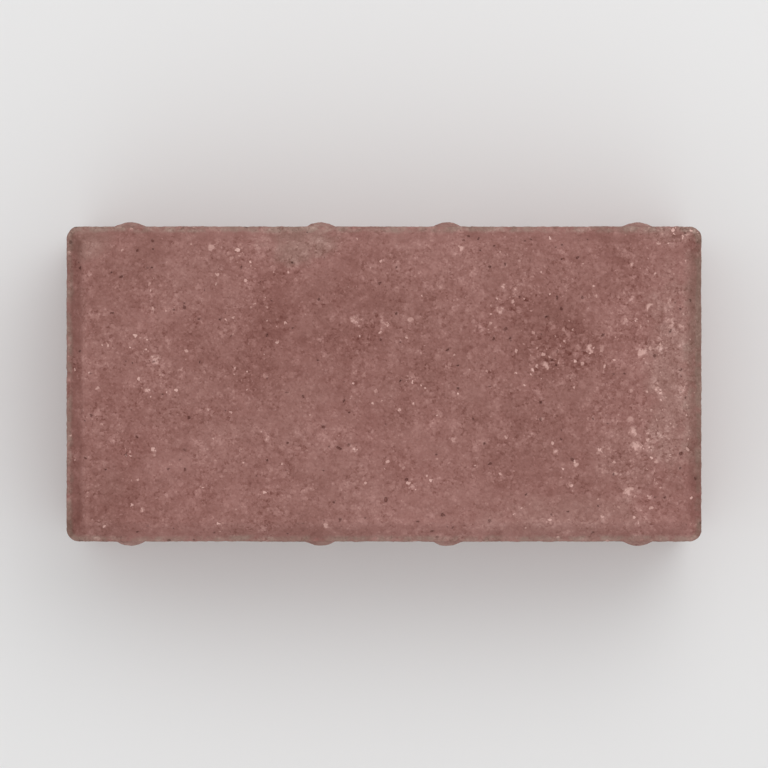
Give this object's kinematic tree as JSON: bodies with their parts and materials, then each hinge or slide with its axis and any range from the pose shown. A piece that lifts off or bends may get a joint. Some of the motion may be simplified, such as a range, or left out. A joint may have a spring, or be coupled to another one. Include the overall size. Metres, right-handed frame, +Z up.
{
  "type": "concrete paving stone",
  "caption": "Rectangular red concrete paving stone with a sloped border round its wearing face and spacer nibs down its long sides.",
  "frame": {"origin": "centre of the flat bed face, which the stone lies on", "axes": "+X along the stone's length, +Y across it from one long side with nibs to the other, +Z up, out of the wearing face"},
  "size_m": [0.197, 0.101, 0.06],
  "materials": {
    "red_concrete": "matte"
  },
  "bodies": {
    "root": {"paving_stone": "red_concrete"}
  },
  "joints": []
}
